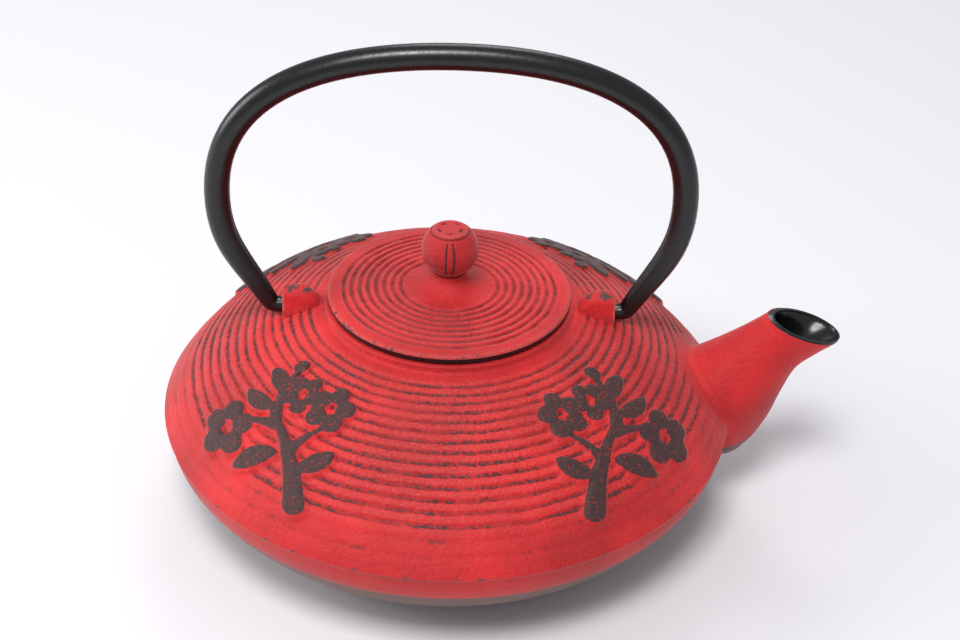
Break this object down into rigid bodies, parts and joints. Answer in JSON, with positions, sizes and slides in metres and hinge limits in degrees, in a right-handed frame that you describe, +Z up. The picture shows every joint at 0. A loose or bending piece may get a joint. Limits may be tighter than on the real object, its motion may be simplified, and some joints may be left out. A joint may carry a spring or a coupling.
{
  "type": "cast iron teapot",
  "caption": "Saucer-shaped cast-iron teapot with a lift-off lid, a ball knob, a short spout, a swinging bail handle and a hanging steel tea infuser.",
  "frame": {"origin": "centre of the flat base, on the surface that the teapot stands on", "axes": "+Z up through the middle of the lid, +X towards the spout; the bail handle stands in the XZ plane"},
  "size_m": [0.2013, 0.17, 0.1452],
  "materials": {
    "red_cast_iron": "matte red paint rubbed over a dark base coat, black enamel inside",
    "black_painted_steel": "satin black paint on rolled steel tube",
    "plain_steel": "plain steel stud and washer",
    "stainless_steel": "pressed stainless sheet",
    "stainless_mesh": "fine woven stainless wire"
  },
  "bodies": {
    "pot": {"pot_body": "red_cast_iron"},
    "bail": {"bail_handle": "black_painted_steel"},
    "infuser": {"infuser_rim": "stainless_steel", "infuser_wall": "stainless_mesh", "infuser_base_ring": "stainless_steel", "infuser_floor": "stainless_mesh"},
    "lid": {"lid": "red_cast_iron", "lid_knob": "red_cast_iron", "knob_rivet": "plain_steel", "knob_washer": "plain_steel"}
  },
  "joints": [
    {"name": "handle_swing", "type": "hinge", "parent": "pot", "child": "bail", "pos_m": [0, 0, 0.0626], "axis": [1, 0, 0], "range_deg": [-100, 100]},
    {"name": "infuser_lift", "type": "slide", "parent": "pot", "child": "infuser", "axis": [0, 0, 1], "range_m": [0, 0.044]},
    {"name": "lid_lift", "type": "slide", "parent": "infuser", "child": "lid", "axis": [0, 0, 1], "range_m": [0, 0.044]}
  ]
}
